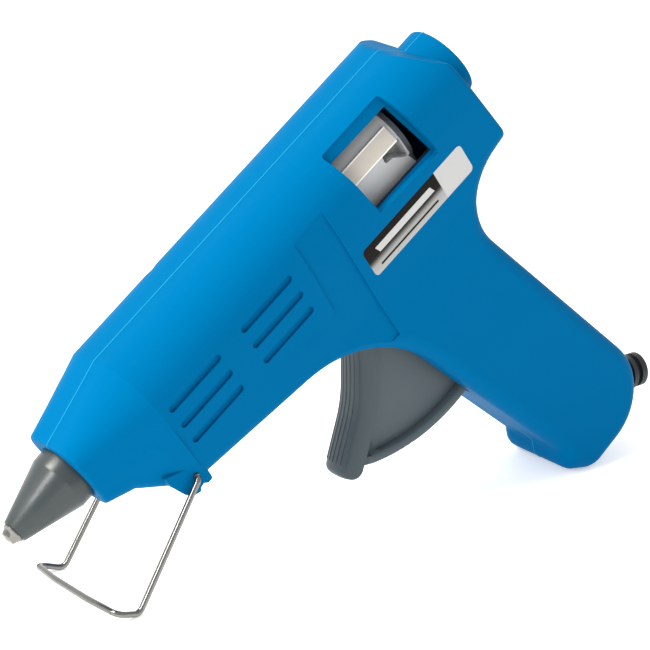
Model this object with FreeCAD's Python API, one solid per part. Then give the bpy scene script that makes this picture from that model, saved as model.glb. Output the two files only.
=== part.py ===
import FreeCAD, Part
import math
import os

V = FreeCAD.Vector

# Hot-melt glue gun for 11 mm sticks.
# Modelling frame: X runs along the stick bore towards the nose, Y to the gun's left side, Z up.
# Its origin is the middle of the collar's rear edge. Every shape is placed in the part's own
# frame at the end: the gun stands nose down on its wire stand and heel, with the nose to -X.

# ---- driving dimensions, mm ----
STICK_R = 5.6
STICK_GAP = 0.6
BORE_R = STICK_R + STICK_GAP
CARRIAGE_BORE_R = 6.5
COLLAR_R = 10.9
WALL = 2.2
HALF_WIDTH = 17.5
GRIP_HALF_WIDTH = 15.0
TOP_Z = 17.7
TOP_CORNER_R = 13.0
EDGE_R = 4.6
NOSE_START_X = 127.0
NOSE_END_X = 150.7
SLEEVE_R = 8.6
SLEEVE_SHOULDER_X = 154.9
SLEEVE_END_X = 171.7
TIP_X = 174.2

PIVOT_X, PIVOT_Z = 57.0, -24.5
PIN_R = 2.0
RUN_GAP = 0.05
TRIGGER_ARC_R = 55.3
WEB_HALF = 5.5
PANEL_HALF = 2.9
BAND_HALF = 6.2
BAND_EDGE_R = 1.5
TRIGGER_TRAVEL = 20.0
ARM_LENGTH = 18.5
ARM_LEAN = TRIGGER_TRAVEL / 2.0

STAND_X, STAND_Z = 129.4, -19.7
WIRE_R = 0.85
LEG_LENGTH = 38.2
LEG_ANGLE = 21.7
LEG_TOP_Y = 17.0
LEG_FOOT_Y = 18.2
WIRE_BEND_R = 2.4

SCREW_PLACES = [(13.5, -12.6), (97.0, 13.4), (112.0, -18.6), (23.6, -60.0), (39.0, -114.0), (17.0, -101.0)]
SCREW_R = 1.5

GLAND_X, GLAND_Z, GLAND_ANGLE = 11.9, -122.4, 34.3
GLAND_LENGTH = 11.8
GLAND_NECK_R = 3.8
GLAND_BORE_R = 2.6
CORD_CLAMP_Z = -109.5
CORD_CLAMP_SCREWS_X = (21.0, 32.0)
SPRING_POST_X, SPRING_Z = 23.2, -16.6

# The side outline: x, z and corner radius, from the rear face round over the top
BODY_OUTLINE = [
    (6.0, 9.0, 0), (13.9, TOP_Z, 3.0), (NOSE_START_X, TOP_Z, 0), (NOSE_START_X, -23.2, 0),
    (64.0, -32.8, 40.0), (41.9, -115.5, 3.0), (44.6, -121.3, 5.0), (36.5, -129.4, 8.0),
    (3.9, -127.4, 18.0), (26.3, -27.0, 17.8), (2.6, -22.9, 0)]

# The front outline of one half: y, z and corner radius, from the top down
HALF_OUTLINE = [
    (HALF_WIDTH, TOP_Z, TOP_CORNER_R), (HALF_WIDTH, -2.0, 40.0), (GRIP_HALF_WIDTH, -28.0, 40.0),
    (GRIP_HALF_WIDTH, -140.0, 0.0)]

# The nose's stations: x, half width, top z, top radius, lower half width, bottom z, bottom radius
NOSE_STATIONS = [
    (NOSE_START_X, HALF_WIDTH, TOP_Z, TOP_CORNER_R, 15.5, -23.2, EDGE_R),
    (131.5, 16.3, 16.3, 11.5, 14.4, -22.8, EDGE_R),
    (142.7, 13.2, 13.0, 7.7, 11.8, -12.5, 4.8),
    (NOSE_END_X, 11.0, 10.8, 5.0, 10.3, -10.0, 4.6)]

# The window's outer and inner corners: x, z
WINDOW_OUTER = [(26.0, 16.0), (48.9, 16.0), (46.5, -6.2), (22.9, -7.1)]
WINDOW_INNER = [(26.1, 12.1), (47.9, 12.3), (45.6, -5.9), (23.5, -6.0)]
WINDOW_TOP_Y, WINDOW_BOTTOM_Y = 10.5, 15.0

VENT_ROWS = [2.0, -4.3, -10.7]
VENT_STARTS = [76.9, 104.9]
VENT_LENGTH = 20.8
VENT_R = 1.15
VENT_DEPTH = 0.9
STEP_FADE_X, STEP_FADE_ANGLE = 106.0, 0.75

# The search for the tilt at which the gun rests, degrees
LEAST_TILT, MOST_TILT, TILT_STEP = 25.0, 45.0, 0.002

parts = {}


# ---- helpers ----
def rounded_wire(corners):
    """A closed wire through the corner points, each rounded by its radius."""
    edges = []
    count = len(corners)
    starts, ends, mids = [], [], []
    for i in range(count):
        before, here, after = corners[i - 1][0], corners[i][0], corners[(i + 1) % count][0]
        radius = corners[i][1]
        back, onward = (before - here).normalize(), (after - here).normalize()
        half = back.getAngle(onward) / 2.0
        if radius <= 0.0 or half > math.pi / 2 - 1e-4:
            starts.append(here)
            ends.append(here)
            mids.append(None)
            continue
        reach = radius / math.tan(half)
        inward = (back + onward).normalize()
        starts.append(here + back * reach)
        ends.append(here + onward * reach)
        mids.append(here + inward * (radius / math.sin(half) - radius))
    for i in range(count):
        if mids[i] is not None:
            edges.append(Part.Arc(starts[i], mids[i], ends[i]).toShape())
        following = starts[(i + 1) % count]
        if ends[i].distanceToPoint(following) > 1e-6:
            edges.append(Part.LineSegment(ends[i], following).toShape())
    return Part.Wire(edges)


def side_plate(outline, y_low, y_high):
    """A plate of a side outline (x, z, radius) between two y values."""
    wire = rounded_wire([(V(p[0], y_low, p[1]), p[2] if len(p) > 2 else 0.0) for p in outline])
    return Part.Face(wire).extrude(V(0, y_high - y_low, 0))


def bar_x(radius, x_low, x_high, y=0.0, z=0.0):
    return Part.makeCylinder(radius, x_high - x_low, V(x_low, y, z), V(1, 0, 0))


def bar_y(radius, y_low, y_high, x, z):
    return Part.makeCylinder(radius, y_high - y_low, V(x, y_low, z), V(0, 1, 0))


def cone_x(r_low, r_high, x_low, x_high):
    return Part.makeCone(r_low, r_high, x_high - x_low, V(x_low, 0, 0), V(1, 0, 0))


def block(x_low, x_high, y_low, y_high, z_low, z_high):
    return Part.makeBox(x_high - x_low, y_high - y_low, z_high - z_low, V(x_low, y_low, z_low))


def mirrored(shape):
    return shape.mirror(V(0, 0, 0), V(0, 1, 0))


def turned_y(shape, degrees, x, z):
    """The shape turned about the Y axis line through x, z, nose side up for positive degrees."""
    copy = shape.copy()
    copy.rotate(V(x, 0, z), V(0, -1, 0), degrees)
    return copy


def fused(shapes):
    first = shapes[0]
    return first.fuse(shapes[1:]).removeSplitter() if len(shapes) > 1 else first


def rounded_path(points, radii):
    """An open wire through the points, with the inner corners rounded."""
    edges = []
    last = points[0]
    for i in range(1, len(points) - 1):
        here = points[i]
        back, onward = (points[i - 1] - here).normalize(), (points[i + 1] - here).normalize()
        half = back.getAngle(onward) / 2.0
        reach = radii[i - 1] / math.tan(half)
        inward = (back + onward).normalize()
        start, end = here + back * reach, here + onward * reach
        mid = here + inward * (radii[i - 1] / math.sin(half) - radii[i - 1])
        edges.append(Part.LineSegment(last, start).toShape())
        edges.append(Part.Arc(start, mid, end).toShape())
        last = end
    edges.append(Part.LineSegment(last, points[-1]).toShape())
    return Part.Wire(edges)


def tube_along(path, radius):
    start = path.Edges[0]
    circle = Part.Wire(Part.makeCircle(radius, start.valueAt(start.FirstParameter),
                                       start.tangentAt(start.FirstParameter)))
    return path.makePipeShell([circle], True, True)


def coil(radius, wire_radius, pitch, length, start, axis):
    """A coil spring whose helix starts at a point and runs along an axis."""
    helix = Part.makeHelix(pitch, length, radius)
    circle = Part.Wire(Part.makeCircle(wire_radius, V(radius, 0, 0), V(0, 1, 0)))
    spring = helix.makePipeShell([circle], True, True)
    spring.Placement = FreeCAD.Placement(start, FreeCAD.Rotation(V(0, 0, 1), axis))
    return spring


# ---- the case ----
def profile_x(inset):
    """The front outline, both halves, as one bar along X."""
    right = [(V(-20, -y, z), r) for y, z, r in HALF_OUTLINE]
    left = [(V(-20, y, z), r) for y, z, r in reversed(HALF_OUTLINE)]
    wire = rounded_wire(left + right)
    if inset:
        wire = wire.makeOffset2D(-inset, 0)
    return Part.Face(wire).extrude(V(200, 0, 0))


def case_core(inset, edge_radius, rear_radius):
    """Barrel and grip between the collar and the nose, with their lower and rear edges rounded."""
    wire = rounded_wire([(V(x, -25, z), r) for x, z, r in BODY_OUTLINE])
    if inset:
        wire = wire.makeOffset2D(-inset, 0)
    core = Part.Face(wire).extrude(V(0, 50, 0)).common(profile_x(inset))
    core = core.makeFillet(edge_radius, [e for e in core.Edges if is_lower_edge(e, wire)])
    return core.makeFillet(rear_radius, [e for e in core.Edges if is_rear_edge(e)])


def middle_of(edge):
    return edge.valueAt((edge.FirstParameter + edge.LastParameter) / 2.0)


def is_lower_edge(edge, outline):
    """An edge where a side meets the underside, the grip's front, the heel or the grip's back."""
    middle = middle_of(edge)
    marker = Part.Vertex(V(middle.x, -25, middle.z))
    on_outline = outline.distToShape(marker)[0] < 1e-3
    ends = [v.Point for v in edge.Vertexes]
    flat_end = all(abs(p.x - ends[0].x) < 3.0 and p.x > 100.0 for p in ends + [middle])
    rear = all(p.x < 8.0 and p.z > -21.5 for p in ends + [middle]) and middle.z > -20.0
    return on_outline and abs(middle.y) > 10.0 and middle.z < -17.0 and not rear and not flat_end


def is_rear_edge(edge):
    """An edge round the rear face, which leans back a little from the chamfer to the grip."""
    points = [v.Point for v in edge.Vertexes] + [middle_of(edge)]
    (top_x, top_z, _), (low_x, low_z, _) = BODY_OUTLINE[0], BODY_OUTLINE[-1]
    lean = (top_x - low_x) / (top_z - low_z)
    return all(p.z > low_z - 4.0 and abs(p.x - low_x - lean * (p.z - low_z)) < 2.7 for p in points)


def nose_section(x, half, top, r_top, low_half, bottom, r_bottom, inset):
    knee = 0.1 * (bottom - top) + 0.5 * (top + bottom)
    half, low_half = half - inset, low_half - inset
    top, bottom = top - inset, bottom + inset
    r_top, r_bottom = max(r_top - inset, 1.0), max(r_bottom - inset, 1.0)
    left = [(half, top, r_top), (half, knee, 20.0), (low_half, bottom, r_bottom)]
    corners = [(V(x, y, z), r) for y, z, r in left]
    corners += [(V(x, -y, z), r) for y, z, r in reversed(left)]
    return rounded_wire(corners)


def nose_loft(inset):
    return Part.makeLoft([nose_section(*station, inset) for station in NOSE_STATIONS], True, True)


def case_outside():
    nose = nose_loft(0.0)
    front = [e for e in nose.Edges if all(abs(v.X - NOSE_END_X) < 1e-3 for v in e.Vertexes)]
    nose = nose.makeFillet(1.0, front)
    collar = bar_x(COLLAR_R, 0.0, 12.0)
    rim = [e for e in collar.Edges if abs(e.CenterOfMass.x) < 1e-3]
    collar = collar.makeFillet(0.8, rim)
    return fused([case_core(0.0, EDGE_R, 1.4), nose, collar])


def window_prism(corners, y_low, y_high, radius):
    return side_plate([(x, z, radius) for x, z in corners], y_low, y_high)


def window_frame_slab(thickness):
    """A slab under the plane of the window's frame, leaning with the barrel's flank."""
    (top_z, bottom_z) = (WINDOW_OUTER[0][1], WINDOW_OUTER[2][1])
    slope = (WINDOW_BOTTOM_Y - WINDOW_TOP_Y) / (top_z - bottom_z)
    reach = 12.0
    high, low = top_z + reach, bottom_z - reach
    y_high, y_low = WINDOW_TOP_Y - slope * reach, WINDOW_BOTTOM_Y + slope * reach
    points = [V(0, y_high, high), V(0, y_low, low), V(0, y_low - thickness, low),
              V(0, y_high - thickness, high)]
    return Part.Face(Part.makePolygon(points + points[:1])).extrude(V(80, 0, 0))


def add_window(shell, outside):
    frame = window_frame_slab(1.2)
    ring = window_prism([(24.2, 17.6), (50.5, 17.6), (48.2, -8.0), (21.2, -9.0)], 5.0, 25.0, 1.0)
    shell = fused([shell, frame.common(ring).common(outside)])
    pocket = window_prism(WINDOW_OUTER, 4.0, 30.0, 0.8).cut(window_frame_slab(20.0))
    opening = window_prism(WINDOW_INNER, 4.0, 30.0, 0.6)
    return shell.cut(fused([pocket, opening]))


def vents(side):
    slots = []
    for x in VENT_STARTS:
        for z in VENT_ROWS:
            reach = VENT_LENGTH - VENT_R
            outline = [(x, z + VENT_R, VENT_R * 0.99), (x + reach, z + VENT_R, VENT_R * 0.99),
                       (x + reach, z - VENT_R, VENT_R * 0.99), (x, z - VENT_R, VENT_R * 0.99)]
            depth = wall_y(z) - VENT_DEPTH
            slots.append(side_plate(outline, depth, depth + 6.0))
    if side < 0:
        slots = [mirrored(s) for s in slots]
    return slots


def side_recess():
    """The shallow L-shaped band between the side's two step lines, fading out towards the nose."""
    region = side_plate([(59.6, 14.0, 0), (61.2, -40.0, 0), (STEP_FADE_X, -40.0, 0), (STEP_FADE_X, -13.3, 0),
                         (72.7, -18.9, 2.5), (70.9, 14.0, 0)], 8.0, 30.0)
    wall = [(V(-20, HALF_WIDTH, 40), 0)] + [(V(-20, y, z), r) for y, z, r in HALF_OUTLINE[1:]]
    wall += [(V(-20, -30, -140), 0), (V(-20, -30, 40), 0)]
    bar = Part.Face(rounded_wire(wall)).extrude(V(240, 0, 0))
    bar.rotate(V(STEP_FADE_X, HALF_WIDTH, 0), V(0, 0, 1), STEP_FADE_ANGLE)
    return region.cut(bar)


def wall_y(z):
    """The half width of the case's side at a height."""
    (y_high, z_high, _), (y_low, z_low, _) = HALF_OUTLINE[1], HALF_OUTLINE[2]
    share = min(max((z_high - z) / (z_high - z_low), 0.0), 1.0)
    return y_high + (y_low - y_high) * share


def screw_seat(z):
    """Where a screw's head rests in the right half, below the outer surface."""
    rise = z - (TOP_Z - TOP_CORNER_R)
    if rise > 0.0:
        return -(HALF_WIDTH - TOP_CORNER_R + math.sqrt(TOP_CORNER_R ** 2 - rise ** 2)) + 6.2
    return -wall_y(z) + 3.2


def trigger_slot():
    """The slot in the grip and barrel that the trigger swings in."""
    sector = bar_y(TRIGGER_ARC_R + 0.8, -BAND_HALF - 0.4, BAND_HALF + 0.4, PIVOT_X, PIVOT_Z)
    reach = block(24.0, 79.0, -10, 10, -140.0, -28.0)
    return sector.common(reach)


def stand_bracket():
    """The lug under each side of the barrel that holds the wire stand's bent-in end."""
    outline = [(136.4, -13.0, 0), (136.4, -16.2, 1.0), (134.8, -21.4, 1.0), (133.0, -23.7, 0.6),
               (131.0, -24.4, 0.4), (130.3, -23.5, 0.3), (129.0, -23.3, 0.3), (128.0, -24.3, 0.3),
               (126.3, -24.3, 0.6), (125.6, -18.0, 0)]
    return side_plate(outline, 11.6, 15.5)


def ribs(cavity):
    """Cross ribs that cradle the melt chamber, and the inner tube behind the bore."""
    plates = [block(x - 1.0, x + 1.0, -25, 25, -40, 25).common(cavity) for x in (84.0, 108.0, 136.0)]
    plates = [p.cut(bar_x(9.15, 60, 160)) for p in plates]
    passage = block(70, 125, -12, 12, -40, -5.5)
    plates = [p.cut(passage) for p in plates]
    return plates + [bar_x(8.2, 5.0, 19.0)]


def bosses(side, cavity):
    """Screw posts: the left half takes the thread, the right half the screw's head."""
    posts = []
    for x, z in SCREW_PLACES:
        posts.append(bar_y(3.2, 0.0, 17.0, x, z))
    posts.append(bar_y(4.6, BAND_HALF + 5.6, 17.0, PIVOT_X, PIVOT_Z))
    posts.append(bar_y(1.3, 0.0, 17.0, SPRING_POST_X, SPRING_Z))
    if side > 0:
        posts += [bar_y(2.3, 0.0, 17.0, x, CORD_CLAMP_Z) for x in CORD_CLAMP_SCREWS_X]
    if side < 0:
        posts = [mirrored(p) for p in posts]
    return [p.common(cavity) for p in posts]


def shell(side, outside, cavity):
    """One half of the case; side is 1 for the left half and -1 for the right."""
    half_space = block(-10, 200, 0.0, 40, -150, 40)
    if side < 0:
        half_space = mirrored(half_space)
    walls = outside.cut(cavity)
    body = fused([walls] + ribs(cavity) + bosses(side, cavity))
    cuts = [bar_x(BORE_R, -5.0, 20.0), cone_x(BORE_R + 1.4, BORE_R, -0.01, 1.4),
            bar_x(SLEEVE_R + 0.2, 144.0, 160.0), bar_x(9.2, 118.0, 146.0), trigger_slot(),
            bar_y(PIN_R + 0.02, -14.2, 14.2, PIVOT_X, PIVOT_Z)]
    cuts.append(gland_bar(GLAND_NECK_R + 0.1, -12.0, 6.0))
    cuts += [bar_y(1.12, 0.0, 9.0, x, CORD_CLAMP_Z) for x in CORD_CLAMP_SCREWS_X if side > 0]
    for x, z in SCREW_PLACES:
        if side < 0:
            cuts.append(bar_y(SCREW_R + 0.2, -30.0, 0.0, x, z))
            cuts.append(bar_y(3.0, -30.0, screw_seat(z), x, z))
        else:
            cuts.append(bar_y(SCREW_R, -0.1, 10.0, x, z))
    cuts += vents(side)
    cuts.append(side_recess() if side > 0 else mirrored(side_recess()))
    body = body.common(half_space)
    bracket = stand_bracket() if side > 0 else mirrored(stand_bracket())
    body = fused([body, bracket.cut(cavity)])
    hole = bar_y(WIRE_R + RUN_GAP, 11.8, 17.5, STAND_X, STAND_Z)
    cuts.append(hole if side > 0 else mirrored(hole))
    body = body.cut(fused(cuts[:1]).fuse(cuts[1:]))
    if side > 0:
        body = add_window(body, outside.common(half_space))
        body = body.cut(label_solid(0.25))
    return keep_largest(body)


def keep_largest(shape):
    solids = sorted(shape.Solids, key=lambda s: s.Volume)
    return solids[-1]


def make_shells():
    outside = case_outside()
    nose_cavity = nose_loft(WALL).common(block(100, NOSE_END_X - 2.4, -30, 30, -40, 30))
    cavity = case_core(WALL, EDGE_R - WALL, 0.4).fuse(nose_cavity)
    parts["left_shell"] = shell(1, outside, cavity)
    parts["right_shell"] = shell(-1, outside, cavity)


# ---- the label ----
LABEL_X, LABEL_Z = 37.0, -15.6
LABEL_LENGTH, LABEL_HEIGHT = 40.4, 10.0


def label_solid(thickness):
    """A thin plate that follows the left side's lean, its outer face flush or a hair proud."""
    x, z, h = LABEL_LENGTH / 2.0, LABEL_HEIGHT / 2.0, thickness
    outline = [(LABEL_X - x, LABEL_Z + z, 1.4), (LABEL_X + x, LABEL_Z + z, 1.4),
               (LABEL_X + x, LABEL_Z - z, 1.4), (LABEL_X - x, LABEL_Z - z, 1.4)]
    prism = side_plate(outline, 10.0, 20.0)
    y_top, y_low = wall_y(LABEL_Z + z), wall_y(LABEL_Z - z)
    lean = (y_top - y_low) / (2.0 * z)
    reach = 6.0
    corners = [V(0, y_top + lean * reach, LABEL_Z + z + reach), V(0, y_low - lean * reach, LABEL_Z - z - reach)]
    corners += [c - V(0, h, 0) for c in reversed(corners)]
    slab = Part.Face(Part.makePolygon(corners + corners[:1])).extrude(V(80, 0, 0))
    return prism.common(slab)


def make_label():
    parts["side_label"] = label_solid(0.25)


# ---- trigger ----
BAND_FRONT = [(62.8, -27.0, 0), (66.4, -36.5, 20.0), (71.0, -45.0, 30.0), (79.0, -56.0, 36.0),
              (95.6, -68.3, 2.2), (92.9, -71.8, 2.2), (90.6, -70.2, 1.0), (75.8, -59.2, 32.0),
              (68.0, -48.4, 26.0), (62.8, -37.5, 12.0), (59.8, -28.0, 0)]
WEB_OUTLINE = [(53.0, -21.0, 0), (61.0, -21.0, 0), (65.0, -36.0, 20.0), (70.0, -45.5, 30.0),
               (77.4, -56.6, 36.0), (95.0, -70.0, 0), (90.0, -82.0, 0), (48.5, -82.0, 0), (50.5, -40.0, 10.0)]


def trigger_web():
    plate = side_plate(WEB_OUTLINE, -WEB_HALF, WEB_HALF)
    plate = plate.common(bar_y(TRIGGER_ARC_R, -10, 10, PIVOT_X, PIVOT_Z))
    rims = [e for e in plate.Edges if on_trigger_arc(e)]
    plate = plate.makeFillet(0.7, rims)
    panel = side_plate([(61.5, -33.0, 2.0), (69.0, -48.9, 20.0), (76.6, -60.0, 30.0), (92.0, -72.0, 0),
                        (88.0, -84.0, 0), (45.0, -84.0, 0), (45.0, -33.0, 0)], PANEL_HALF, 8.0)
    panel = panel.common(bar_y(TRIGGER_ARC_R - 2.7, 0, 10, PIVOT_X, PIVOT_Z))
    return plate.cut(panel).cut(mirrored(panel))


def on_trigger_arc(edge):
    return all(abs(math.hypot(v.X - PIVOT_X, v.Z - PIVOT_Z) - TRIGGER_ARC_R) < 1e-3
               and abs(abs(v.Y) - WEB_HALF) < 1e-3 for v in edge.Vertexes)


def trigger_band():
    band = side_plate(BAND_FRONT, -BAND_HALF, BAND_HALF)
    edges = [e for e in band.Edges if all(v.Z < -30.0 for v in e.Vertexes)
             and abs(abs(e.CenterOfMass.y) - BAND_HALF) < 1e-3]
    return band.makeFillet(BAND_EDGE_R, edges)


def trigger_arms():
    """Two arms that reach up round the carriage, each with an open slot for its trunnion."""
    outline = [(PIVOT_X - 4.6, PIVOT_Z, 0), (PIVOT_X - 3.6, PIVOT_Z + 22.0, 1.5),
               (PIVOT_X + 3.6, PIVOT_Z + 22.0, 1.5), (PIVOT_X + 4.6, PIVOT_Z, 0)]
    arm = side_plate(outline, 9.3, 11.3)
    slot = block(PIVOT_X - 1.9, PIVOT_X + 1.9, 8, 13, PIVOT_Z + ARM_LENGTH - 1.9, PIVOT_Z + 30)
    arm = turned_y(arm.cut(slot), ARM_LEAN, PIVOT_X, PIVOT_Z)
    return [arm, mirrored(arm)]


def make_trigger():
    hub = bar_y(4.7, -11.3, 11.3, PIVOT_X, PIVOT_Z)
    whole = fused([trigger_web(), trigger_band(), hub] + trigger_arms())
    parts["trigger"] = whole.cut(bar_y(PIN_R + RUN_GAP, -20, 20, PIVOT_X, PIVOT_Z))
    parts["trigger_pin"] = bar_y(PIN_R, -14.0, 14.0, PIVOT_X, PIVOT_Z)


# ---- feed carriage and clamp ----
TRUNNION_X = PIVOT_X - ARM_LENGTH * math.tan(math.radians(ARM_LEAN))
TRUNNION_Z = PIVOT_Z + ARM_LENGTH
CLAMP_X, CLAMP_Z = 57.5, 10.2


def make_carriage():
    skirt = block(27.0, 47.5, -11.0, 11.0, -9.5, 0.0)
    drum = fused([bar_x(11.0, 27.0, 47.5), bar_x(8.4, 47.0, 61.5), bar_x(11.9, 26.4, 27.6), skirt])
    rib = turned_x(block(29.0, 47.5, 10.0, 11.9, -2.7, 2.7), 22.0)
    ears = [block(55.2, 60.0, y, y + 1.6, 6.0, 12.2) for y in (-4.9, 3.3)]
    trunnions = [bar_y(1.75, 5.0, 12.2, TRUNNION_X, TRUNNION_Z), bar_y(1.75, -12.2, -5.0, TRUNNION_X, TRUNNION_Z)]
    hook = block(43.0, 46.5, -1.0, 1.0, -17.2, -9.0)
    body = fused([drum, rib, hook] + ears + trunnions)
    side_opening = side_plate([(28.0, 1.6, 0), (34.6, 1.6, 0.6), (35.2, -1.2, 1.0), (32.4, -1.6, 0.4),
                               (28.2, -5.2, 0.3)], 6.0, 14.0)
    clamp_slot = block(49.5, 60.5, -3.2, 3.2, 3.0, 14.0)
    spring_hole = bar_y(0.7, -2, 2, 44.7, -15.6)
    pin_hole = bar_y(1.0 + RUN_GAP - 0.03, -6, 6, CLAMP_X, CLAMP_Z)
    for tool in (bar_x(CARRIAGE_BORE_R, 20, 70), side_opening, clamp_slot, spring_hole, pin_hole):
        body = body.cut(tool)
    parts["feed_carriage"] = body


def turned_x(shape, degrees):
    """The shape turned about the bore's axis, its left side upwards for positive degrees."""
    copy = shape.copy()
    copy.rotate(V(0, 0, 0), V(1, 0, 0), degrees)
    return copy


def make_clamp():
    outline = [(CLAMP_X + 2.2, CLAMP_Z + 0.6, 1.5), (CLAMP_X + 1.4, CLAMP_Z - 2.0, 1.0), (54.0, 6.4, 0),
               (53.2, 7.0, 0), (52.4, 6.4, 0), (51.6, 7.0, 0), (50.8, 6.5, 0.2), (50.6, 8.6, 0.8),
               (CLAMP_X - 1.6, CLAMP_Z + 2.2, 1.5)]
    jaw = side_plate(outline, -2.9, 2.9)
    parts["stick_clamp"] = jaw.cut(bar_y(1.0 + RUN_GAP, -5, 5, CLAMP_X, CLAMP_Z))
    parts["clamp_pin"] = bar_y(1.0, -5.4, 8.0, CLAMP_X, CLAMP_Z)
    parts["clamp_spring"] = coil(1.9, 0.35, 1.1, 2.2, V(CLAMP_X, 5.5, CLAMP_Z), V(0, 1, 0))


# ---- springs and fasteners ----
def make_return_spring():
    start, end = SPRING_POST_X + 1.7, 42.0
    parts["return_spring"] = coil(2.0, 0.35, 1.3, end - start, V(start, 0, SPRING_Z), V(1, 0, 0))


def make_screws():
    screws = []
    for x, z in SCREW_PLACES:
        seat = screw_seat(z)
        shank = bar_y(SCREW_R - 0.03, seat - 0.2, 8.0, x, z)
        head = bar_y(2.7, seat - 1.9, seat, x, z)
        cross = fused([block(x - 1.5, x + 1.5, seat - 2.0, seat - 0.9, z - 0.35, z + 0.35),
                       block(x - 0.35, x + 0.35, seat - 2.0, seat - 0.9, z - 1.5, z + 1.5)])
        screws.append(fused([shank, head]).cut(cross))
    parts["case_screws"] = Part.makeCompound(screws)


# ---- melt chamber, nozzle and heater ----
def make_chamber():
    barrel = fused([bar_x(9.0, 82.0, 139.0), bar_x(7.4, 76.0, 82.5), cone_x(9.0, 6.0, 139.0, 144.0)])
    pad = block(88.0, 120.0, -6.0, 6.0, -10.4, -2.0)
    body = fused([barrel, pad])
    for tool in (bar_x(BORE_R - 0.1, 70, 124), cone_x(BORE_R - 0.1, 2.0, 124, 136), bar_x(2.0, 135.9, 150)):
        body = body.cut(tool)
    thread = bar_x(3.5, 138.0, 150.0)
    parts["melt_chamber"] = body.cut(thread)
    nose = fused([bar_x(3.45, 138.2, 158.0), cone_x(5.6, 3.2, 149.0, 168.0), cone_x(2.7, 1.9, 167.0, TIP_X)])
    bore = fused([bar_x(2.0, 130, 166), cone_x(2.0, 0.75, 166, 172), bar_x(0.75, 171.9, 180)])
    parts["nozzle"] = nose.cut(bore)


def make_nozzle_sleeve():
    outer = fused([bar_x(SLEEVE_R, 146.0, SLEEVE_SHOULDER_X),
                   cone_x(SLEEVE_R, 3.45, SLEEVE_SHOULDER_X, SLEEVE_END_X)])
    inner = fused([bar_x(3.5, 140, 150), cone_x(5.65, 3.25, 149.0, 168.0), bar_x(2.75, 160, 180)])
    inner = inner.fuse(bar_x(6.6, 145.0, 149.05))
    parts["nozzle_sleeve"] = outer.cut(inner)


def make_inlet_sleeve():
    outer = fused([bar_x(8.6, 70.5, 81.9), bar_x(9.8, 70.5, 72.5)])
    inner = bar_x(7.42, 75.9, 90.0).fuse(cone_x(BORE_R + 1.0, BORE_R - 0.1, 70.0, 76.0))
    parts["inlet_sleeve"] = outer.cut(inner)


def make_heater():
    parts["ptc_heater"] = block(94.0, 116.0, -4.0, 4.0, -13.2, -10.45)
    parts["heater_insulator"] = block(92.5, 117.5, -4.6, 4.6, -13.9, -13.25)
    top = 9.1
    ring = bar_x(10.1, 98.0, 106.0).cut(bar_x(top, 90, 120))
    ring = ring.common(block(90, 120, -20, 20, -6.5, 20))
    cheeks = [block(98.0, 106.0, y, y + 1.0, -15.0, -5.4) for y in (-8.4, 7.4)]
    floor = block(98.0, 106.0, -8.4, 8.4, -15.0, -13.95)
    parts["heater_clip"] = fused([ring, floor] + cheeks)


# ---- wiring ----
LEAD_R = 0.8
BLOCK_X, BLOCK_Z = 29.0, -92.0


def make_leads():
    for name, side in (("heater_lead_left", 1), ("heater_lead_right", -1)):
        y = 9.3 * side
        points = [V(26.5, 3.5 * side, -86.9), V(25.5, y, -74.0), V(33.0, y, -50.0), V(47.0, y, -34.5),
                  V(66.0, y, -30.5), V(80.0, 5.6 * side, -19.0), V(93.1, 2.0 * side, -12.0)]
        radii = [5.0, 12.0, 12.0, 12.0, 8.0]
        parts[name] = tube_along(rounded_path(points, radii), LEAD_R)


def make_cord_fittings():
    y_half = 7.0
    body = block(BLOCK_X - 7.0, BLOCK_X + 3.0, -y_half, y_half, BLOCK_Z - 6.0, BLOCK_Z + 5.0)
    for side in (-1, 1):
        body = body.cut(Part.makeCylinder(1.0, 12.0, V(26.5, 3.5 * side, BLOCK_Z - 7.0), V(0, 0, 1)))
    screws = [Part.makeCylinder(1.2, 3.0, V(BLOCK_X + 1.2, y, BLOCK_Z - 0.5), V(1, 0, 0)) for y in (-3.5, 3.5)]
    for screw in screws:
        body = body.cut(screw)
    parts["terminal_block"] = body
    parts["terminal_screws"] = Part.makeCompound(screws)


def gland_bar(radius, inner, outer):
    """A cylinder on the gland's axis, by its distances outward from the grip's surface."""
    angle = math.radians(GLAND_ANGLE)
    outward = V(-math.cos(angle), 0, -math.sin(angle))
    return Part.makeCylinder(radius, outer - inner, V(GLAND_X, 0, GLAND_Z) + outward * inner, outward)


def make_gland():
    """A ribbed rubber gland whose neck passes the grip's corner; its cord bore stays open."""
    ribs_out = [(6.4, 0.5, 1.9), (5.4, 3.4, 5.0), (5.2, 6.6, 8.2), (5.0, 9.9, GLAND_LENGTH)]
    pieces = [gland_bar(GLAND_NECK_R, -7.5, GLAND_LENGTH - 0.2), gland_bar(5.6, -6.2, -4.2)]
    pieces += [gland_bar(*rib) for rib in ribs_out]
    parts["cord_gland"] = fused(pieces).cut(gland_bar(GLAND_BORE_R, -20.0, 30.0))


def make_cord_clamp():
    """The bar that two screws pull down on the cord inside the grip."""
    low, high = CORD_CLAMP_SCREWS_X
    bar = block(low - 2.6, high + 2.6, -3.4, -0.05, CORD_CLAMP_Z - 2.5, CORD_CLAMP_Z + 2.5)
    middle = (low + high) / 2.0
    groove = Part.makeCylinder(GLAND_BORE_R + 0.2, 12.0, V(middle, 0.9, CORD_CLAMP_Z - 6.0), V(0, 0, 1))
    bar = bar.cut(groove)
    screws = []
    for x in CORD_CLAMP_SCREWS_X:
        bar = bar.cut(bar_y(1.3, -5.0, 1.0, x, CORD_CLAMP_Z))
        screws.append(bar_y(1.1, -3.6, 7.0, x, CORD_CLAMP_Z).fuse(bar_y(2.1, -5.0, -3.45, x, CORD_CLAMP_Z)))
    parts["cord_clamp"] = bar
    parts["cord_clamp_screws"] = Part.makeCompound(screws)


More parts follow.
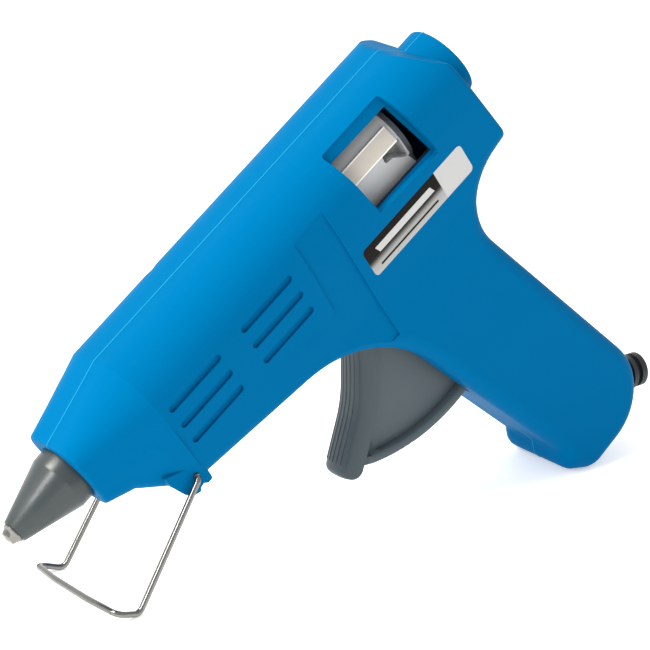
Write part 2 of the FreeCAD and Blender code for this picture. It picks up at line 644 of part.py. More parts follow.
# ---- wire stand ----
def stand_point(along, y, rise):
    """A point by its distance along the legs, its y, and its height off them towards the nose."""
    angle = math.radians(LEG_ANGLE)
    return V(STAND_X + along * math.cos(angle) + rise * math.sin(angle), y,
             STAND_Z - along * math.sin(angle) + rise * math.cos(angle))


def make_stand():
    half = [stand_point(0, 12.2, 0), stand_point(0, LEG_TOP_Y, 0), stand_point(LEG_LENGTH, LEG_FOOT_Y, 0),
            stand_point(LEG_LENGTH + 2.0, 19.8, 7.6), stand_point(LEG_LENGTH + 2.3, 8.0, 9.4)]
    points = half + [V(p.x, -p.y, p.z) for p in reversed(half)]
    bends = [1.6, WIRE_BEND_R, WIRE_BEND_R, 25.0]
    parts["wire_stand"] = tube_along(rounded_path(points, bends + bends[::-1]), WIRE_R)


# ---- resting pose ----
def lowest_point(name, tilt):
    """The height of a piece's lowest point once the gun leans nose down by the tilt."""
    turned = parts[name].copy()
    turned.rotate(V(0, 0, 0), V(0, 1, 0), tilt)
    return turned.optimalBoundingBox(False, False).ZMin


def resting_tilt():
    """The nose-down angle at which the stand's foot and the heel touch the same plane."""
    low, high = LEAST_TILT, MOST_TILT
    while high - low > TILT_STEP:
        middle = (low + high) / 2.0
        if lowest_point("wire_stand", middle) > lowest_point("left_shell", middle):
            low = middle
        else:
            high = middle
    return middle


def place_in_row_frame():
    tilt = resting_tilt()
    turn = FreeCAD.Rotation(V(0, 1, 0), -tilt).multiply(FreeCAD.Rotation(V(0, 0, 1), 180))
    for name in parts:
        parts[name] = parts[name].transformed(FreeCAD.Placement(V(), turn).toMatrix())
    box = FreeCAD.BoundBox()
    for shape in parts.values():
        box.add(shape.optimalBoundingBox(False, False))
    shift = V(-box.Center.x, -box.Center.y, -box.ZMin)
    for name in parts:
        parts[name] = parts[name].transformed(FreeCAD.Placement(shift, FreeCAD.Rotation()).toMatrix())
    return FreeCAD.Placement(shift, turn), tilt


def main():
    make_shells()
    make_label()
    make_trigger()
    make_carriage()
    make_clamp()
    make_return_spring()
    make_screws()
    make_chamber()
    make_nozzle_sleeve()
    make_inlet_sleeve()
    make_heater()
    make_leads()
    make_cord_fittings()
    make_gland()
    make_cord_clamp()
    make_stand()
    placement, tilt = place_in_row_frame()
    os.makedirs("parts", exist_ok=True)
    for name, shape in parts.items():
        shape.exportStep("parts/" + name + ".step")
    print("tilt", round(tilt, 3))
    marks = {"bore_mouth": V(0, 0, 0), "trigger_pivot": V(PIVOT_X, 0, PIVOT_Z),
             "stand_pivot": V(STAND_X, 0, STAND_Z), "clamp_pivot": V(CLAMP_X, 0, CLAMP_Z),
             "gland": V(GLAND_X, 0, GLAND_Z), "tip": V(TIP_X, 0, 0)}
    for name, point in marks.items():
        print(name, [round(c / 1000, 6) for c in placement.multVec(point)])
    for name, axis in {"x": V(1, 0, 0), "y": V(0, 1, 0), "z": V(0, 0, 1)}.items():
        print(name, [round(c, 6) for c in placement.Rotation.multVec(axis)])
    for name, shape in parts.items():
        print(name, "solids", len(shape.Solids), "valid", shape.isValid(), "volume", round(shape.Volume, 1))


main()
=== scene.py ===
import math

import bmesh
import bpy
from mathutils import Matrix, Vector


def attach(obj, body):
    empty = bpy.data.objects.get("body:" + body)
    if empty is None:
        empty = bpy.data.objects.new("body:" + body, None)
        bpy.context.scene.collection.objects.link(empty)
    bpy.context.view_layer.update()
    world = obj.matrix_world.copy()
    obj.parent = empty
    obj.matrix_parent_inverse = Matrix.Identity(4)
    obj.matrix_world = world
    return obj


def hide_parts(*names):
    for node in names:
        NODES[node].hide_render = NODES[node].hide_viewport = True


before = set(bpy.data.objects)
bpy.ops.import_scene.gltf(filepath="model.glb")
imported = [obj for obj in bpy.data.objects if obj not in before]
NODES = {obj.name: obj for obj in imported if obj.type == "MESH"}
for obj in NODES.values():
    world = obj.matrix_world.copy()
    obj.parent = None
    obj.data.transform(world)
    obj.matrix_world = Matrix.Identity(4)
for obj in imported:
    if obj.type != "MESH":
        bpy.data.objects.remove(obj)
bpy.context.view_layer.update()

# The gun's own frame: X along the bore to the nose, Y to its left side, Z up from the bore,
# with its origin in the middle of the collar's rear edge. Lengths in it are in millimetres.
TILT = math.radians(36.354)
BORE_MOUTH = Vector((0.03324, 0.0, 0.125402))
GUN = Matrix((
    (-math.cos(TILT), 0.0, -math.sin(TILT), BORE_MOUTH.x),
    (0.0, -1.0, 0.0, BORE_MOUTH.y),
    (-math.sin(TILT), 0.0, math.cos(TILT), BORE_MOUTH.z),
    (0.0, 0.0, 0.0, 1.0)))
MM = 0.001


def place(x, y, z):
    """A point of the gun's frame, in the row frame."""
    return GUN @ (Vector((x, y, z)) * MM)


def in_gun(point):
    """A point of the row frame in the gun's frame, in millimetres."""
    return GUN.inverted() @ point / MM


def direction(x, y, z):
    """A direction of the gun's frame, in the row frame."""
    return (GUN.to_3x3() @ Vector((x, y, z))).normalized()


# ---- materials ----
NOISE_LOW, NOISE_HIGH = 0.3, 0.7    # the usual range of a noise value


def set_stops(ramp, stops):
    """Colour stops (position, colour) of a ramp node."""
    elements = ramp.color_ramp.elements
    while len(elements) < len(stops):
        elements.new(1.0)
    for element, (position, color) in zip(elements, stops):
        element.position = position
        element.color = (*color, 1.0)


class Shader:
    """A material with one Principled shader and short ways to add procedural detail to it."""

    def __init__(self, name, color, roughness=0.4, metallic=0.0, specular=0.5):
        self.material = bpy.data.materials.new(name)
        self.material.use_nodes = True
        self.nodes = self.material.node_tree.nodes
        self.links = self.material.node_tree.links
        self.bsdf = self.nodes["Principled BSDF"]
        self.bsdf.inputs["Base Color"].default_value = (*color, 1.0)
        self.bsdf.inputs["Roughness"].default_value = roughness
        self.bsdf.inputs["Metallic"].default_value = metallic
        self.bsdf.inputs["Specular IOR Level"].default_value = specular
        self.coords = self.nodes.new("ShaderNodeTexCoord").outputs["Object"]

    def noise(self, scale, detail=2.0):
        """A noise value over the object's own coordinates."""
        node = self.nodes.new("ShaderNodeTexNoise")
        node.inputs["Scale"].default_value = scale
        node.inputs["Detail"].default_value = detail
        self.links.new(self.coords, node.inputs["Vector"])
        return node.outputs["Fac"]

    def spread(self, value, low, high):
        """A noise value stretched from its usual range to low..high."""
        node = self.nodes.new("ShaderNodeMapRange")
        node.inputs["From Min"].default_value = NOISE_LOW
        node.inputs["From Max"].default_value = NOISE_HIGH
        node.inputs["To Min"].default_value = low
        node.inputs["To Max"].default_value = high
        self.links.new(value, node.inputs["Value"])
        return node.outputs["Result"]

    def rough(self, scale, low, high):
        """Uneven gloss."""
        gloss = self.spread(self.noise(scale), low, high)
        self.links.new(gloss, self.bsdf.inputs["Roughness"])
        return self

    def tint(self, color):
        """The colour of the gloss."""
        self.bsdf.inputs["Specular Tint"].default_value = (*color, 1.0)
        return self

    def grain(self, scale, strength, distance=0.0001):
        """A fine moulded or sandblasted surface."""
        bump = self.nodes.new("ShaderNodeBump")
        bump.inputs["Strength"].default_value = strength
        bump.inputs["Distance"].default_value = distance
        self.links.new(self.noise(scale, 3.0), bump.inputs["Height"])
        self.links.new(bump.outputs["Normal"], self.bsdf.inputs["Normal"])
        return self


BLUE_GLOSS = (0.0, 0.40, 0.75)
BLUE = Shader("case_blue", (0.0, 0.118, 0.292), specular=0.012)
BLUE.tint(BLUE_GLOSS).rough(60, 0.42, 0.52).grain(2600, 0.12)
# painted shade: near-black blue for the inner walls of the shells, where the hollow of the barrel
# lies in shade
INSIDE_PAINTED_SHADE = Shader("case_inside_painted_shade", (0.002, 0.014, 0.032), 0.7, specular=0.1)
# painted highlight: the lighter blue of the parting-line bead stands for the highlight on the
# seam's rounded edge
SEAM_HIGHLIGHT = Shader("seam_painted_highlight", (0.015, 0.27, 0.50), 0.45, specular=0.2).tint(BLUE_GLOSS)
GREY = Shader("trigger_grey", (0.076, 0.100, 0.114), specular=0.25)
GREY.rough(90, 0.40, 0.50).grain(2600, 0.12)
BAND = Shader("finger_grey", (0.056, 0.075, 0.085), specular=0.25)
BAND.rough(90, 0.40, 0.50).grain(2600, 0.12)
SHADE = Shader("carriage_shade", (0.045, 0.052, 0.064), 0.45, specular=0.3)
PALE = Shader("carriage_grey", (0.50, 0.505, 0.51), specular=0.5).rough(80, 0.22, 0.32)
# painted highlight: near-white beads along the rib's edges stand for the bright gloss on them
EDGE_HIGHLIGHT = Shader("rib_edge_painted_highlight", (0.86, 0.85, 0.83), 0.25, specular=0.6)
CREAM = Shader("rib_cream", (0.50, 0.46, 0.41), specular=0.4)
CREAM.rough(700, 0.35, 0.5).grain(1800, 0.3)
STEEL = Shader("wire_steel", (0.20, 0.195, 0.188), metallic=1.0).rough(500, 0.14, 0.26)
DULL_STEEL = Shader("dull_steel", (0.32, 0.32, 0.33), metallic=1.0).rough(300, 0.35, 0.5)
BRIGHT = Shader("nozzle_steel", (0.21, 0.205, 0.195), metallic=1.0).rough(600, 0.16, 0.30)
DARK = Shader("sleeve_dark", (0.026, 0.034, 0.037), specular=0.5)
DARK.rough(120, 0.28, 0.40).grain(1500, 0.35)
BLACK = Shader("gland_rubber", (0.012, 0.015, 0.020), specular=0.4).rough(200, 0.4, 0.55)
ALLOY = Shader("chamber_alloy", (0.60, 0.60, 0.62), metallic=1.0)
ALLOY.rough(200, 0.4, 0.55).grain(900, 0.3)
WHITE = Shader("white_plastic", (0.72, 0.72, 0.68), 0.5)
AMBER = Shader("insulator_film", (0.55, 0.25, 0.05), 0.25)
RED = Shader("inlet_silicone", (0.35, 0.05, 0.03), 0.5)
SILVER = Shader("label_silver", (0.38, 0.38, 0.38), 0.40, specular=0.03)
PRINT_LIGHT = Shader("print_light", (0.50, 0.50, 0.50), 0.4, specular=0.1)
PRINT_DARK = Shader("print_dark", (0.012, 0.011, 0.010), 0.4, specular=0.05)

FINISH = {
    "left_shell": BLUE, "right_shell": BLUE, "side_label": SILVER, "trigger": GREY,
    "feed_carriage": PALE, "stick_clamp": DULL_STEEL, "clamp_pin": STEEL, "clamp_spring": STEEL,
    "return_spring": STEEL, "trigger_pin": STEEL, "case_screws": DULL_STEEL,
    "nozzle": BRIGHT, "nozzle_sleeve": DARK, "cord_gland": BLACK, "wire_stand": STEEL,
    "melt_chamber": ALLOY, "inlet_sleeve": RED, "ptc_heater": WHITE, "heater_insulator": AMBER,
    "heater_clip": DULL_STEEL, "heater_lead_left": WHITE, "heater_lead_right": WHITE,
    "terminal_block": WHITE, "terminal_screws": DULL_STEEL, "cord_clamp": GREY,
    "cord_clamp_screws": DULL_STEEL}
for name, node in NODES.items():
    node.data.materials.clear()
    node.data.materials.append(FINISH[name].material)


# The hollow of the barrel, in the gun's frame. The collar round the bore is outside it.
HOLLOW_X = (4.0, 124.0)
HOLLOW_Z = (-21.5, 15.6)
HOLLOW_HALF_WIDTH = 15.4
HOLLOW_MIDDLE_Z = -4.0
COLLAR_R, COLLAR_END = 13.5, 14.0
END_WALL = 0.9         # a face turned further along the bore than this is an end wall
FLANGE_END = 27.7      # where the rear flange of the carriage ends


def in_hollow(p):
    """True for a point in the hollow of the barrel."""
    near_bore = math.hypot(p.y, p.z) < COLLAR_R and p.x < COLLAR_END
    return (HOLLOW_X[0] < p.x < HOLLOW_X[1] and HOLLOW_Z[0] < p.z < HOLLOW_Z[1]
            and abs(p.y) < HOLLOW_HALF_WIDTH and not near_bore)


def paint_shade_inside(node):
    """The inner walls of a shell get painted shade: a near-black blue in place of the case's blue,
    for the shade in the hollow.
    """
    node.data.materials.append(INSIDE_PAINTED_SHADE.material)
    to_row = node.matrix_world
    for polygon in node.data.polygons:
        p = in_gun(to_row @ polygon.center)
        normal = GUN.to_3x3().inverted() @ (to_row.to_3x3() @ polygon.normal)
        faces_in = normal.y * p.y + normal.z * (p.z - HOLLOW_MIDDLE_Z) < 0.0
        if in_hollow(p) and faces_in and abs(normal.x) < END_WALL:
            polygon.material_index = 1


def shade_flange(node):
    """The rear flange of the carriage lies in the shade of the window's edge."""
    node.data.materials.append(SHADE.material)
    for polygon in node.data.polygons:
        if in_gun(node.matrix_world @ polygon.center).x < FLANGE_END:
            polygon.material_index = 1


paint_shade_inside(NODES["left_shell"])
paint_shade_inside(NODES["right_shell"])
shade_flange(NODES["feed_carriage"])


# ---- mesh helpers ----
SHARP_ANGLE = math.radians(38.0)
STRAIGHT = math.pi / 2.0 - 0.01    # a corner with a larger half angle stays sharp


def link_object(name, data):
    """A new object in the scene."""
    obj = bpy.data.objects.new(name, data)
    bpy.context.scene.collection.objects.link(obj)
    return obj


def mesh_object(name, points, faces, shader, body, smooth=True):
    """A mesh from points of the gun's frame; it rides on a body."""
    mesh = bpy.data.meshes.new(name)
    mesh.from_pydata([place(*p) for p in points], [], faces)
    bm = bmesh.new()
    bm.from_mesh(mesh)
    bmesh.ops.recalc_face_normals(bm, faces=bm.faces)
    bm.to_mesh(mesh)
    bm.free()
    for polygon in mesh.polygons:
        polygon.use_smooth = smooth
    mesh.set_sharp_from_angle(angle=SHARP_ANGLE)
    mesh.materials.append(shader.material)
    obj = link_object(name, mesh)
    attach(obj, body)
    return obj


def tube(name, path, radius, shader, body, sides=8):
    """A round bar along a path in the gun's frame, closed at both ends."""
    points, faces = [], []
    for i, p in enumerate(path):
        here = Vector(p)
        ahead = Vector(path[min(i + 1, len(path) - 1)]) - Vector(path[max(i - 1, 0)])
        ahead.normalize()
        side = Vector((0.0, 1.0, 0.0)) if abs(ahead.y) < 0.9 else Vector((1.0, 0.0, 0.0))
        up = ahead.cross(side).normalized()
        side = up.cross(ahead).normalized()
        for k in range(sides):
            turn = 2.0 * math.pi * k / sides
            points.append(here + radius * (math.cos(turn) * side + math.sin(turn) * up))
    for i in range(len(path) - 1):
        for k in range(sides):
            a, b = i * sides + k, i * sides + (k + 1) % sides
            faces.append((a, b, b + sides, a + sides))
    faces.append(tuple(range(sides)))
    last = (len(path) - 1) * sides
    faces.append(tuple(last + k for k in range(sides)))
    return mesh_object(name, points, faces, shader, body)


def round_corner(before, corner, after, radius, steps):
    """The points that take the place of one corner of a line, on an arc of this radius."""
    back, onward = (before - corner).normalized(), (after - corner).normalized()
    half = back.angle(onward) / 2.0
    if radius <= 0.0 or half > STRAIGHT:
        return [corner]
    centre = corner + (back + onward).normalized() * (radius / math.sin(half))
    start = corner + back * (radius / math.tan(half))
    end = corner + onward * (radius / math.tan(half))
    spokes = [(start - centre).lerp(end - centre, k / steps) for k in range(steps + 1)]
    return [centre + spoke.normalized() * radius for spoke in spokes]


def rounded(corners, steps=6):
    """Points along an open line of (x, z, radius) corners, each corner rounded by its radius."""
    spots = [Vector(corner[:2]) for corner in corners]
    line = [spots[0]]
    for before, here, after, corner in zip(spots, spots[1:], spots[2:], corners[1:]):
        line += round_corner(before, here, after, corner[2], steps)
    line.append(spots[-1])
    return [(p.x, 0.0, p.y) for p in line]


def bent(points, radii, steps=8):
    """A path through points in space, each inner corner bent by its radius."""
    path = [points[0]]
    for before, here, after, radius in zip(points, points[1:], points[2:], radii):
        path += round_corner(before, here, after, radius, steps)
    path.append(points[-1])
    return path


def lathe(name, profile, shader, body, sides=96):
    """A turned piece about the bore's axis, closed profile of (x, radius)."""
    points, faces = [], []
    for x, radius in profile:
        for k in range(sides):
            turn = 2.0 * math.pi * k / sides
            points.append((x, radius * math.cos(turn), radius * math.sin(turn)))
    for i in range(len(profile)):
        j = (i + 1) % len(profile)
        for k in range(sides):
            n = (k + 1) % sides
            faces.append((i * sides + k, i * sides + n, j * sides + n, j * sides + k))
    return mesh_object(name, points, faces, shader, body)


# ---- nozzle sleeve and nozzle tip ----
SLEEVE_PROFILE = [
    (146.0, 6.6), (146.0, 8.4), (146.3, 8.6), (154.3, 8.6), (154.75, 8.56), (155.2, 8.42),
    (163.0, 6.05), (171.2, 3.62), (171.5, 3.45), (171.6, 3.2), (171.5, 2.9), (171.0, 2.75),
    (168.3, 2.75), (168.0, 3.25), (149.05, 5.65), (149.05, 6.6)]
NOZZLE_PROFILE = [
    (138.2, 3.45), (149.0, 3.45), (149.0, 5.6), (168.0, 3.2), (168.0, 2.6), (171.6, 2.6),
    (171.72, 3.1), (172.1, 3.15), (172.4, 2.85), (172.9, 2.45), (173.7, 2.15),
    (174.05, 2.0), (174.2, 1.75), (174.2, 0.95), (173.95, 0.75), (138.2, 0.75)]

sleeve = lathe("sleeve_body", SLEEVE_PROFILE, DARK, "case")
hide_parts("nozzle_sleeve")
nozzle = lathe("nozzle_body", NOZZLE_PROFILE, BRIGHT, "case")
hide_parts("nozzle")

# ---- wire stand: one wire, bent at four places on each side ----
STAND_X, STAND_Z = 129.4, -19.7
WIRE_R = 0.85
WIRE_SIDES = 32
LEG_ANGLE = math.radians(21.7)
LEG_LENGTH = 38.2
WIRE_BENDS = (1.6, 2.4, 2.4, 25.0)


def stand_point(along, y, rise):
    """A point of the standing wire: along the leg from its pivot, sideways, towards the nose."""
    return Vector((STAND_X + along * math.cos(LEG_ANGLE) + rise * math.sin(LEG_ANGLE), y,
                   STAND_Z - along * math.sin(LEG_ANGLE) + rise * math.cos(LEG_ANGLE)))


half_wire = [stand_point(0.0, 12.2, 0.0), stand_point(0.0, 17.0, 0.0),
             stand_point(LEG_LENGTH, 18.2, 0.0), stand_point(LEG_LENGTH + 2.0, 19.8, 7.6),
             stand_point(LEG_LENGTH + 2.3, 8.0, 9.4)]
whole_wire = half_wire + [Vector((p.x, -p.y, p.z)) for p in reversed(half_wire)]
wire_path = bent(whole_wire, WIRE_BENDS + WIRE_BENDS[::-1])
wire = tube("stand_wire", wire_path, WIRE_R, STEEL, "stand", WIRE_SIDES)
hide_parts("wire_stand")

# ---- rib of the feed carriage: a matt face between two near-white beads along its edges, painted highlight ----
RIB_TURN = math.radians(22.0)
RIB_TOP = 11.9
RIB_X = (29.15, 47.4)
RIB_FACE_HALF = 2.3
RIB_FACE_LIFT, RIB_FACE_SINK = 0.04, 0.3
RIB_EDGE_X = (29.1, 35.0, 41.0, 47.4)
RIB_EDGE_HALF = 2.5
RIB_EDGE_R = 0.24
RIB_EDGE_SINK = 0.1


def on_rib(x, across, height):
    """A point of the rib: along the bore, across the rib and out from the bore."""
    return (x, height * math.cos(RIB_TURN) - across * math.sin(RIB_TURN),
            height * math.sin(RIB_TURN) + across * math.cos(RIB_TURN))


def rib_face():
    """The matt face between the two edges, as a thin plate."""
    (low, high), half = RIB_X, RIB_FACE_HALF
    corners = [(low, -half), (high, -half), (high, half), (low, half)]
    points = [on_rib(x, a, RIB_TOP + RIB_FACE_LIFT) for x, a in corners]
    points += [on_rib(x, a, RIB_TOP - RIB_FACE_SINK) for x, a in corners]
    faces = [(0, 1, 2, 3), (4, 5, 6, 7), (0, 1, 5, 4), (1, 2, 6, 5), (2, 3, 7, 6), (3, 0, 4, 7)]
    mesh_object("rib_face", points, faces, CREAM, "carriage", smooth=False)


rib_face()
# near-white beads of painted highlight along both edges of the rib
for name, across in (("rib_edge_low", -RIB_EDGE_HALF), ("rib_edge_high", RIB_EDGE_HALF)):
    edge = [on_rib(x, across, RIB_TOP - RIB_EDGE_SINK) for x in RIB_EDGE_X]
    tube(name, edge, RIB_EDGE_R, EDGE_HIGHLIGHT, "carriage")

# ---- finger face of the trigger: a darker band with fine ridges down it ----
FINGER_CURVE = [(64.6, -32.0, 0), (66.4, -36.5, 20.0), (71.0, -45.0, 30.0), (79.0, -56.0, 36.0),
                (93.9, -67.0, 0)]
CURVE_STEPS = 8        # points between two corners of the rounded curve
TANGENT_SPAN = 3       # points on each side that give the curve's direction
BAND_FRONT = -0.6      # how far before the face a point still counts as in the band
BAND_DEPTH = 6.6       # how thick the band is behind the face
BAND_START, BAND_END = -1.0, 4.5    # how far past the ends of the curve it reaches
BAND_TOP = -31.0
BAND_FADE = 4.0        # the dome grows over this height below the band's top
BAND_HALF = 6.2
BAND_DOME = 3.4        # how far the side edges lie behind the crest
DOME_POWER = 2.6
BAND_ADVANCE = 1.0     # how far the crest stands before the flat face
TIP_FADE = 4.0
TIP_DOME = 1.4
BAND_EDGE = 1.1        # longer edges in the band are cut
BAND_CUTS = 5          # rounds of cutting
WELD = 0.002 * MM
TRIGGER_SHARP = math.radians(22.0)
RIDGE_R = 0.2
RIDGE_Y = (-4.6, -2.9, -1.2, 0.5, 2.2, 3.9)


def finger_curve():
    """Points down the finger face with the direction into the trigger at each of them."""
    corners = [Vector((x, z)) for x, _, z in rounded(FINGER_CURVE, 10)]
    points = [a.lerp(b, k / CURVE_STEPS) for a, b in zip(corners, corners[1:])
              for k in range(CURVE_STEPS)] + [corners[-1]]
    last = len(points) - 1
    curve = []
    for i, point in enumerate(points):
        ahead = points[min(i + TANGENT_SPAN, last)] - points[max(i - TANGENT_SPAN, 0)]
        ahead.normalize()
        curve.append((point, Vector((-abs(ahead.y), -abs(ahead.x))), ahead))
    return curve


CURVE = finger_curve()


def dome(y):
    """0 in the middle of the band to 1 at its side edges."""
    across = min(abs(y) / BAND_HALF, 1.0)
    return 1.0 - math.sqrt(max(0.0, 1.0 - across ** DOME_POWER))


def band_fade(z):
    """0 at the top of the band to 1 a little below it."""
    return min(1.0, max(0.0, (BAND_TOP - z) / BAND_FADE))


def face_shift(y, z):
    """How far the rounded section lies behind the flat finger face, less than 0 before it."""
    return (BAND_DOME * dome(y) - BAND_ADVANCE) * band_fade(z)


def band_place(p):
    """How deep a point lies behind the finger face, how far along it, and the inward direction."""
    q = Vector((p.x, p.z))
    point, inward, ahead = min(CURVE, key=lambda c: (c[0] - q).length)
    return (q - point).dot(inward), (q - point).dot(ahead), inward


def in_band(p):
    """True for a point of the trigger that belongs to the finger band."""
    depth, past, _ = band_place(p)
    return BAND_FRONT < depth < BAND_DEPTH and BAND_START < past < BAND_END and p.z < BAND_TOP


def dome_vertex(p):
    """A point of the trigger, moved onto the rounded section if it is in the finger band."""
    depth, past, inward = band_place(p)
    if not (BAND_FRONT < depth < BAND_DEPTH and past < BAND_END and p.z < BAND_TOP):
        return p
    shift = inward * (face_shift(p.y, p.z) * (1.0 - max(depth, 0.0) / BAND_DEPTH))
    tip, _, ahead = CURVE[-1]
    to_tip = (Vector((p.x, p.z)) - tip).dot(ahead) + TIP_FADE
    if to_tip > 0.0:
        shift -= ahead * (TIP_DOME * dome(p.y) * min(1.0, to_tip / TIP_FADE))
    return Vector((p.x + shift.x, p.y, p.z + shift.y))


def rounded_trigger():
    """The trigger with the rounded finger band that it is moulded with."""
    node = NODES["trigger"]
    bm = bmesh.new()
    bm.from_mesh(node.data)
    bm.transform(node.matrix_world)
    bmesh.ops.remove_doubles(bm, verts=bm.verts, dist=WELD)
    for _ in range(BAND_CUTS):
        long_edges = [e for e in bm.edges if e.calc_length() > BAND_EDGE * MM
                      and in_band(in_gun((e.verts[0].co + e.verts[1].co) / 2.0))]
        bmesh.ops.subdivide_edges(bm, edges=long_edges, cuts=1)
        bmesh.ops.triangulate(bm, faces=bm.faces[:])
    for face in bm.faces:
        face.smooth = True
        face.material_index = int(in_band(in_gun(face.calc_center_median())))
    for vert in bm.verts:
        vert.co = GUN @ (dome_vertex(in_gun(vert.co)) * MM)
    mesh = bpy.data.meshes.new("trigger_body")
    bm.to_mesh(mesh)
    bm.free()
    mesh.set_sharp_from_angle(angle=TRIGGER_SHARP)
    mesh.materials.append(GREY.material)
    mesh.materials.append(BAND.material)
    obj = link_object("trigger_body", mesh)
    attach(obj, "trigger")
    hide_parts("trigger")


rounded_trigger()
for k, y in enumerate(RIDGE_Y):
    path = []
    for point, inward, _ in CURVE[:-1]:
        p = point + inward * face_shift(y, point.y)
        path.append((p.x, y, p.y))
    tube(f"finger_ridge_{k}", path, RIDGE_R, BAND, "trigger")

# ---- label ----
LABEL_X, LABEL_Z = 37.0, -15.6
LABEL_HALF_HEIGHT = 5.0
PLAIN_END = (-9.4, -9.2)       # the black band ends here along the label
PLAIN_SILVER = (0.50, 0.50, 0.50)
PRINT_LIFT, PRINT_SINK = 0.05, -0.02
LABEL_SHADE = [(0.0, (0.42, 0.42, 0.42)), (0.30, (0.34, 0.34, 0.335)), (0.45, (0.06, 0.058, 0.055)),
               (0.52, (0.014, 0.013, 0.012)), (1.0, (0.010, 0.009, 0.008))]


def along(shader, axis, low, high):
    """0 to 1 between two distances from the label's middle along a direction of the gun."""
    offset = shader.nodes.new("ShaderNodeVectorMath")
    offset.operation = "SUBTRACT"
    offset.inputs[1].default_value = place(LABEL_X, 0.0, LABEL_Z)
    shader.links.new(shader.coords, offset.inputs[0])
    dot = shader.nodes.new("ShaderNodeVectorMath")
    dot.operation = "DOT_PRODUCT"
    dot.inputs[1].default_value = axis
    shader.links.new(offset.outputs["Vector"], dot.inputs[0])
    span = shader.nodes.new("ShaderNodeMapRange")
    span.inputs["From Min"].default_value = low * MM
    span.inputs["From Max"].default_value = high * MM
    shader.links.new(dot.outputs["Value"], span.inputs["Value"])
    return span.outputs["Result"]


def print_label():
    """Silver film; over three quarters of it a black band fades towards the lower edge."""
    ramp = SILVER.nodes.new("ShaderNodeValToRGB")
    set_stops(ramp, LABEL_SHADE)
    height = along(SILVER, direction(0, 0, 1), -LABEL_HALF_HEIGHT, LABEL_HALF_HEIGHT)
    SILVER.links.new(height, ramp.inputs["Fac"])
    split = along(SILVER, direction(1, 0, 0), *PLAIN_END)
    mix = SILVER.nodes.new("ShaderNodeMix")
    mix.data_type = "RGBA"
    mix.inputs["A"].default_value = (*PLAIN_SILVER, 1.0)
    SILVER.links.new(split, mix.inputs["Factor"])
    SILVER.links.new(ramp.outputs["Color"], mix.inputs["B"])
    SILVER.links.new(mix.outputs["Result"], SILVER.bsdf.inputs["Base Color"])


print_label()


def label_face():
    """A point and the outward direction of the label's outer face, in the gun's frame."""
    node = NODES["side_label"]
    best = max(node.data.polygons, key=lambda f: f.area * (f.normal.y < 0.0))
    normal = (GUN.to_3x3().inverted() @ (node.matrix_world.to_3x3() @ best.normal)).normalized()
    return in_gun(node.matrix_world @ best.center), normal


FACE_POINT, FACE_NORMAL = label_face()


def print_bar(name, corners, shader):
    """A flat printed shape on the label; corners are (along, up) from the label's middle."""
    points = []
    for lift in (PRINT_LIFT, PRINT_SINK):
        for u, v in corners:
            x, z = LABEL_X + u, LABEL_Z + v
            flat = FACE_NORMAL.x * (x - FACE_POINT.x) + FACE_NORMAL.z * (z - FACE_POINT.z)
            y = FACE_POINT.y - flat / FACE_NORMAL.y
            points.append(Vector((x, y, z)) + FACE_NORMAL * lift)
    n = len(corners)
    faces = [tuple(range(n)), tuple(range(n, 2 * n))]
    faces += [(k, (k + 1) % n, n + (k + 1) % n, n + k) for k in range(n)]
    mesh_object(name, points, faces, shader, "case", smooth=False)


print_bar("print_stripe", [(-7.0, 0.4), (15.5, 0.4), (16.3, 2.6), (-6.2, 2.6)], PRINT_LIGHT)
print_bar("print_rule", [(-6.5, -3.3), (17.0, -3.3), (17.0, -2.7), (-6.5, -2.7)], PRINT_DARK)

# ---- the parting line of the case: a thin bead in a lighter blue, painted highlight of its rounded edge ----
SEAM_R = 0.13
SEAMS = {
    "top": [(0.0, 7.8, 0), (0.0, 10.9, 0.8), (7.8, 10.9, 0), (13.9, 17.7, 3.0), (127.0, 17.7, 0),
            (131.5, 16.3, 0), (142.7, 13.0, 0), (150.7, 10.8, 0.9), (150.7, 9.2, 0)],
    "belly": [(150.7, -9.2, 0), (150.7, -10.0, 0.9), (142.7, -12.5, 0), (131.5, -22.8, 0),
              (127.0, -23.2, 0), (80.0, -30.3, 0)],
    "grip_front": [(43.9, -108.0, 0), (41.9, -115.5, 3.0), (44.6, -121.3, 5.0), (36.5, -129.4, 8.0),
                   (3.9, -127.4, 18.0), (7.2, -112.6, 0)],
    "grip_rear": [(9.1, -104.0, 0), (26.3, -27.0, 17.8), (2.6, -22.9, 1.4), (4.1, -10.9, 0),
                  (0.0, -10.9, 0.8), (0.0, -7.8, 0)]}
for name, corners in SEAMS.items():
    tube("seam_" + name, rounded(corners), SEAM_R, SEAM_HIGHLIGHT, "case")

# ---- stage ----
FLOOR_FRONT, FLOOR_BACK, FLOOR_HALF = -3.0, 1.4, 5.0
SWEEP_R, SWEEP_STEPS = 0.8, 12
WALL_TOP = 4.0
FLOOR_GLOW = 0.42
WORLD_STRENGTH = 0.86


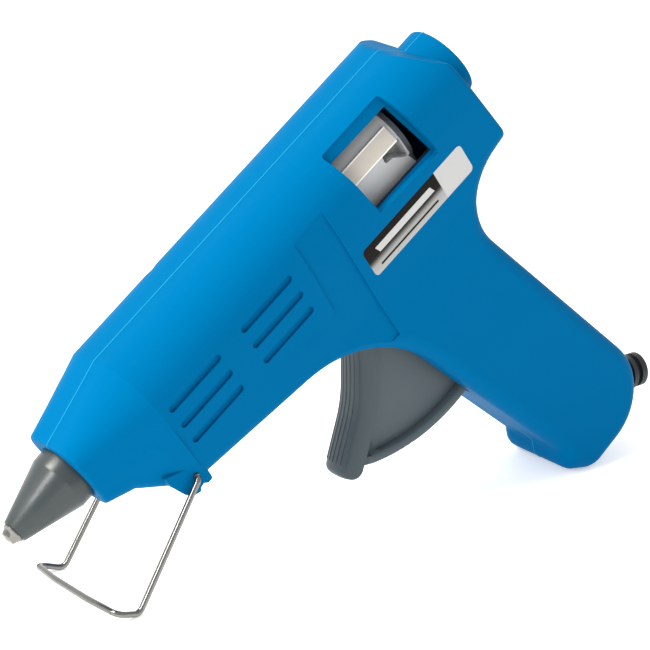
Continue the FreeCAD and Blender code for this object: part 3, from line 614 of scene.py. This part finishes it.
def add_floor():
    """A pale floor that curves up far behind the object."""
    profile = [(FLOOR_FRONT, 0.0), (FLOOR_BACK, 0.0)]
    for k in range(1, SWEEP_STEPS + 1):
        turn = math.pi / 2.0 * k / SWEEP_STEPS
        profile.append((FLOOR_BACK + SWEEP_R * math.sin(turn), SWEEP_R - SWEEP_R * math.cos(turn)))
    profile.append((FLOOR_BACK + SWEEP_R, WALL_TOP))
    points = [(x, y, z) for y, z in profile for x in (-FLOOR_HALF, FLOOR_HALF)]
    faces = [(2 * i, 2 * i + 1, 2 * i + 3, 2 * i + 2) for i in range(len(profile) - 1)]
    mesh = bpy.data.meshes.new("floor")
    mesh.from_pydata(points, [], faces)
    floor_white = Shader("floor_white", (0.86, 0.86, 0.86), 0.8, specular=0.2)
    floor_white.bsdf.inputs["Emission Color"].default_value = (1.0, 1.0, 1.0, 1.0)
    floor_white.bsdf.inputs["Emission Strength"].default_value = FLOOR_GLOW
    mesh.materials.append(floor_white.material)
    obj = link_object("floor", mesh)


add_floor()
world = bpy.data.worlds.new("studio")
bpy.context.scene.world = world
world.use_nodes = True
background = world.node_tree.nodes["Background"]
background.inputs["Color"].default_value = (1.0, 1.0, 1.0, 1.0)
background.inputs["Strength"].default_value = WORLD_STRENGTH
bpy.context.scene.view_settings.view_transform = "Standard"


def area_light(name, size, power, spot, target, color=(1.0, 1.0, 1.0)):
    """A square lamp at a spot, turned to its target."""
    data = bpy.data.lights.new(name, "AREA")
    data.color = color
    data.size = size
    data.energy = power
    lamp = link_object(name, data)
    lamp.location = spot
    lamp.rotation_euler = (Vector(target) - Vector(spot)).to_track_quat("-Z", "Y").to_euler()


area_light("key", 0.5, 16.0, (-0.75, 0.15, 1.0), (0.0, 0.0, 0.06), (1.0, 1.0, 0.88))
area_light("streak", 0.22, 3.0, (-0.85, -0.17, 0.50), (-0.09, 0.0, 0.03))

# ---- camera ----
LENS = 166.2
CAMERA_SPOT = place(277.5, 610.0, 454.6)
CAMERA_RIGHT = direction(-0.6432, 0.5978, -0.4785)
CAMERA_BACK = direction(0.2554, 0.7566, 0.6019)

cam_data = bpy.data.cameras.new("camera")
cam_data.sensor_width = 36.0
cam_data.lens = LENS
cam = link_object("camera", cam_data)
camera_axes = Matrix((CAMERA_RIGHT, CAMERA_BACK.cross(CAMERA_RIGHT), CAMERA_BACK)).transposed()
cam.matrix_world = Matrix.Translation(CAMERA_SPOT) @ camera_axes.to_4x4()
bpy.context.scene.camera = cam
